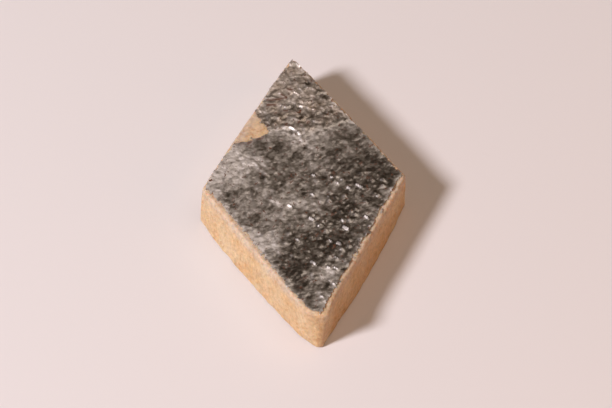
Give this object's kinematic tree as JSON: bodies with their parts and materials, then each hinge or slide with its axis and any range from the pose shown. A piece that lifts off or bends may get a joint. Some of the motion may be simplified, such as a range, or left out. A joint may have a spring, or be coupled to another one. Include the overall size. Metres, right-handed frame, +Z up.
{
  "type": "barfi",
  "caption": "Diamond-shaped slice of cashew barfi, cut from a rolled slab, with a torn sheet of edible silver leaf on top.",
  "frame": {"origin": "middle of the flat underside, on the surface that the piece rests on", "axes": "+Z up out of the silver leaf, +Y along the long diagonal to the far tip, +X to the right as seen from the near tip"},
  "size_m": [0.0406, 0.0668, 0.0099],
  "materials": {
    "cashew_paste": null,
    "silver_leaf": "crinkled, dulled silver leaf with bright specks"
  },
  "bodies": {
    "root": {"cashew_slab": "cashew_paste", "silver_leaf": "silver_leaf"}
  },
  "joints": []
}
